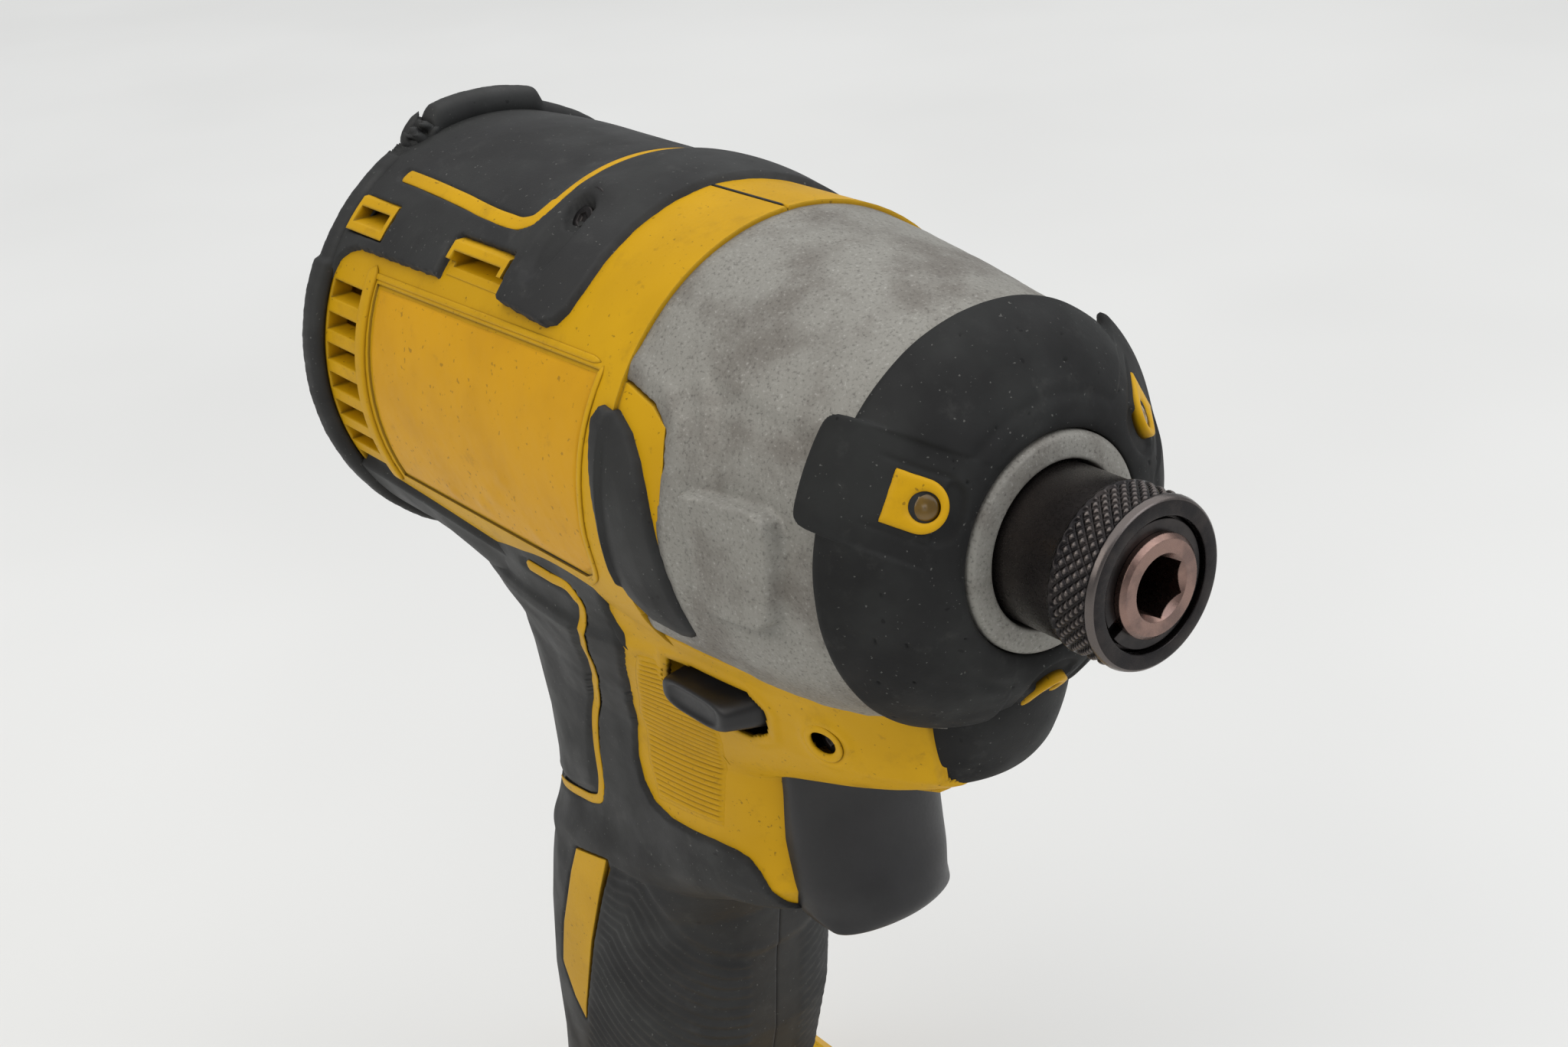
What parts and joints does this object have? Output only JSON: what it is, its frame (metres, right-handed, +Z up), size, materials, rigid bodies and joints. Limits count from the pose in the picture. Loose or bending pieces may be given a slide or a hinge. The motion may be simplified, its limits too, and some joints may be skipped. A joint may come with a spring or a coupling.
{
  "type": "cordless impact driver",
  "caption": "Pistol-grip cordless impact driver, no battery: hex bit socket with sliding release sleeve, hammer case, rubber nose boot, trigger, vented motor barrel and battery foot.",
  "frame": {"origin": "centre of the bit socket's mouth, on the output axis", "axes": "+X along the output axis away from the tool, +Z up, handle towards -Z, the tool's right side towards -Y"},
  "size_m": [0.1365, 0.0658, 0.1979],
  "materials": {
    "yellow_nylon": "moulded glass-filled nylon, satin",
    "black_elastomer": "overmoulded soft elastomer, matt",
    "cast_alloy": "sand-textured die casting",
    "clear_lens": "moulded lens",
    "hard_steel": "hardened and ground",
    "black_steel": "black oxide",
    "spring_steel": "drawn wire",
    "bronze": "sintered bushing and turned inserts",
    "laminations": "stacked electrical sheet",
    "copper": "enamelled wire and tinned blades",
    "black_plastic": "moulded nylon, fine texture",
    "circuit_board": "glass-epoxy board"
  },
  "bodies": {
    "tool_body": {"right_housing": "yellow_nylon", "left_housing": "yellow_nylon", "right_overmould": "black_elastomer", "left_overmould": "black_elastomer", "right_grip": "black_elastomer", "left_grip": "black_elastomer", "right_inlay": "yellow_nylon", "left_inlay": "yellow_nylon", "right_bumper": "black_elastomer", "left_bumper": "black_elastomer", "hammer_case": "cast_alloy", "nose_boot": "black_elastomer", "lamp_carrier": "yellow_nylon", "lamp_lenses": "clear_lens", "anvil_bushing": "bronze", "ring_gear": "hard_steel", "gearbox_plate": "cast_alloy", "carrier_bearing": "hard_steel", "stator": "laminations", "windings": "copper", "front_bearing": "hard_steel", "rear_bearing": "hard_steel", "sensor_board": "circuit_board", "trigger_switch": "black_plastic", "control_board": "circuit_board", "terminal_block": "black_plastic", "terminal_blades": "copper", "hook_inserts": "bronze", "housing_screws": "black_steel"},
    "output": {"anvil": "hard_steel", "spring_washer": "black_steel", "retaining_ring": "black_steel", "detent_balls": "hard_steel", "sleeve_spring": "spring_steel"},
    "sleeve": {"sleeve": "black_steel"},
    "carrier": {"cam_shaft": "hard_steel", "cam_balls": "hard_steel", "planet_pins": "black_steel", "spring_seat": "hard_steel", "hammer_spring": "spring_steel"},
    "hammer": {"hammer": "hard_steel"},
    "planet_a": {"planet_a": "hard_steel"},
    "planet_b": {"planet_b": "hard_steel"},
    "planet_c": {"planet_c": "hard_steel"},
    "rotor": {"rotor": "black_steel", "rotor_shaft": "hard_steel", "fan": "black_plastic"},
    "trigger": {"trigger": "black_plastic", "trigger_spring": "spring_steel"},
    "direction_button": {"direction_button": "black_plastic"},
    "mode_selector": {"mode_selector": "black_plastic"}
  },
  "joints": [
    {"name": "carrier_spin", "type": "hinge", "parent": "tool_body", "child": "carrier", "pos_m": [-0.06, 0, 0], "axis": [1, 0, 0], "continuous": true},
    {"name": "anvil_spin", "type": "hinge", "parent": "tool_body", "child": "output", "pos_m": [-0.02, 0, 0], "axis": [1, 0, 0], "continuous": true},
    {"name": "rotor_spin", "type": "hinge", "parent": "tool_body", "child": "rotor", "pos_m": [-0.107, 0, 0], "axis": [1, 0, 0], "continuous": true},
    {"name": "sleeve_slide", "type": "slide", "parent": "output", "child": "sleeve", "axis": [1, 0, 0], "range_m": [0, 0.004], "stiffness_N_per_m": 1200, "springref_m": -0.004, "deforming": ["sleeve_spring"]},
    {"name": "hammer_slide", "type": "slide", "parent": "carrier", "child": "hammer", "axis": [-1, 0, 0], "range_m": [0, 0.008], "stiffness_N_per_m": 4000, "springref_m": -0.004, "deforming": ["hammer_spring"]},
    {"name": "trigger_pull", "type": "slide", "parent": "tool_body", "child": "trigger", "axis": [-1, 0, 0], "range_m": [0, 0.007], "stiffness_N_per_m": 700, "springref_m": -0.003, "deforming": ["trigger_spring"]},
    {"name": "direction_slide", "type": "slide", "parent": "tool_body", "child": "direction_button", "axis": [0, 1, 0], "range_m": [0, 0.005]},
    {"name": "mode_slide", "type": "slide", "parent": "tool_body", "child": "mode_selector", "axis": [0, 1, 0], "range_m": [0, 0.008]},
    {"name": "planet_a_spin", "type": "hinge", "parent": "carrier", "child": "planet_a", "pos_m": [-0.0776, 0, -0.0135], "axis": [1, 0, 0], "continuous": true},
    {"name": "planet_b_spin", "type": "hinge", "parent": "carrier", "child": "planet_b", "pos_m": [-0.0776, 0.01169, 0.00675], "axis": [1, 0, 0], "continuous": true},
    {"name": "planet_c_spin", "type": "hinge", "parent": "carrier", "child": "planet_c", "pos_m": [-0.0776, -0.01169, 0.00675], "axis": [1, 0, 0], "continuous": true}
  ],
  "couplings": [
    {"joint": "anvil_spin", "follows": "carrier_spin", "ratio": 1},
    {"joint": "rotor_spin", "follows": "carrier_spin", "ratio": 6},
    {"joint": "planet_a_spin", "follows": "carrier_spin", "ratio": -2.5},
    {"joint": "planet_b_spin", "follows": "carrier_spin", "ratio": -2.5},
    {"joint": "planet_c_spin", "follows": "carrier_spin", "ratio": -2.5}
  ]
}
